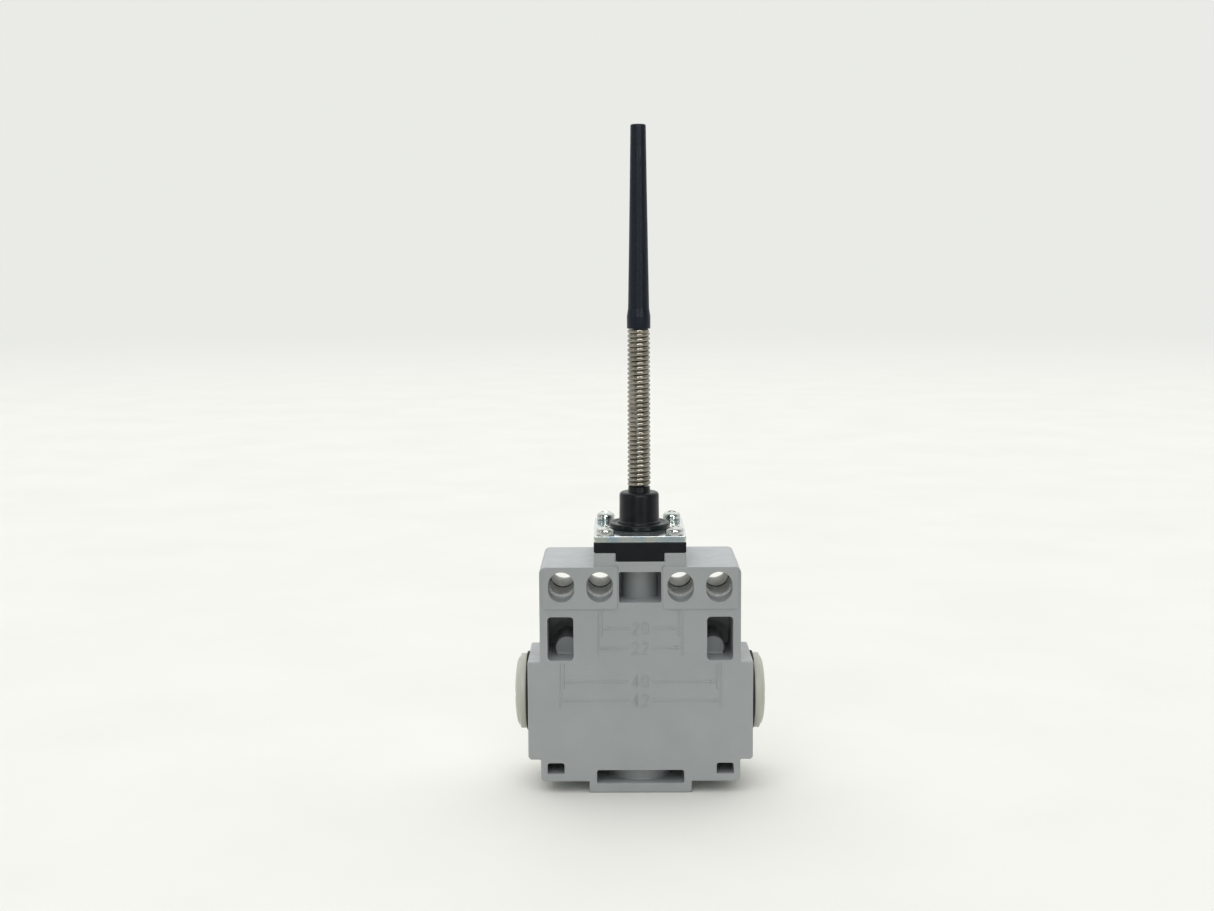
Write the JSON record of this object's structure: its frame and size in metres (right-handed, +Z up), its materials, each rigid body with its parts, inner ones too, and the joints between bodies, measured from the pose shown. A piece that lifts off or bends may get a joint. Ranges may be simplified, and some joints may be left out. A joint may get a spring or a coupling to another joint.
{
  "type": "limit switch",
  "caption": "Compact limit switch with a spring-rod actuator on a sealed head, two side cable entries closed by plugs, and through holes for mounting screws.",
  "frame": {"origin": "on the rod's axis at the bottom of the foot, which is the bottom centre of the bounding box", "axes": "+Z up along the rod, +Y towards the front cover, -Y out of the mounting face, +X to the right when looking at the mounting face"},
  "size_m": [0.0666, 0.0294, 0.1742],
  "materials": {
    "housing_plastic": "moulded mid-grey plastic, satin",
    "cover_plastic": "moulded light warm-grey plastic, satin",
    "black_plastic": "moulded black plastic, satin",
    "case_plastic": "moulded black plastic, matte",
    "carrier_plastic": "moulded red plastic",
    "nylon": "natural nylon",
    "sleeve_plastic": "black plastic rod, satin",
    "black_rubber": "moulded black rubber, satin",
    "zinc_plate": "bright zinc-plated steel sheet",
    "screw_steel": "bright zinc-plated steel",
    "spring_steel": "drawn spring-steel wire",
    "bush_metal": "grey cast bush, dull",
    "contact_brass": "brass strip with silver tips",
    "label_film": "blank white label"
  },
  "bodies": {
    "root": {"housing": "housing_plastic", "front_cover": "cover_plastic", "cover_gasket": "black_rubber", "cover_screws": "screw_steel", "label_plate": "label_film", "rear_bushes": "bush_metal", "front_bushes": "cover_plastic", "left_plug": "cover_plastic", "right_plug": "cover_plastic", "left_plug_seal": "black_rubber", "right_plug_seal": "black_rubber", "head_base": "black_plastic", "head_plate": "zinc_plate", "head_screws": "screw_steel", "head_seal": "black_rubber", "plunger_spring": "spring_steel", "contact_case": "case_plastic", "contact_cover": "nylon", "case_screws": "screw_steel", "carrier_spring": "spring_steel", "fixed_contacts": "contact_brass", "clamp_washers": "screw_steel", "terminal_screws": "screw_steel"},
    "swivel": {"pivot_ring": "nylon", "boot": "black_rubber"},
    "rocker": {"rocker_stem": "screw_steel", "coil_spring": "spring_steel"},
    "rod": {"rod_core": "spring_steel", "rod_sleeve": "sleeve_plastic"},
    "plunger": {"plunger": "nylon"},
    "carrier": {"carrier": "carrier_plastic", "bridge_springs": "spring_steel", "moving_bridges": "contact_brass"}
  },
  "joints": [
    {"name": "rod_swivel", "type": "hinge", "parent": "root", "child": "swivel", "pos_m": [0, 0, 0.0665], "axis": [0, 0, 1], "continuous": true},
    {"name": "rod_lean", "type": "hinge", "parent": "swivel", "child": "rocker", "pos_m": [0, 0, 0.0665], "axis": [0, 1, 0], "range_deg": [0, 18], "stiffness_Nm_per_rad": 0.5, "deforming": ["boot"]},
    {"name": "spring_bend", "type": "hinge", "parent": "rocker", "child": "rod", "pos_m": [0, 0, 0.1005], "axis": [0, 1, 0], "range_deg": [0, 45], "stiffness_Nm_per_rad": 0.12, "deforming": ["coil_spring"]},
    {"name": "plunger_slide", "type": "slide", "parent": "root", "child": "plunger", "axis": [0, 0, -1], "range_m": [0, 0.0016], "deforming": ["plunger_spring"]},
    {"name": "carrier_slide", "type": "slide", "parent": "root", "child": "carrier", "axis": [0, 0, -1], "range_m": [0, 0.0016], "deforming": ["carrier_spring"]}
  ],
  "couplings": [
    {"joint": "plunger_slide", "follows": "rod_lean", "m_per_rad": 0.0048},
    {"joint": "carrier_slide", "follows": "rod_lean", "m_per_rad": 0.0048}
  ]
}
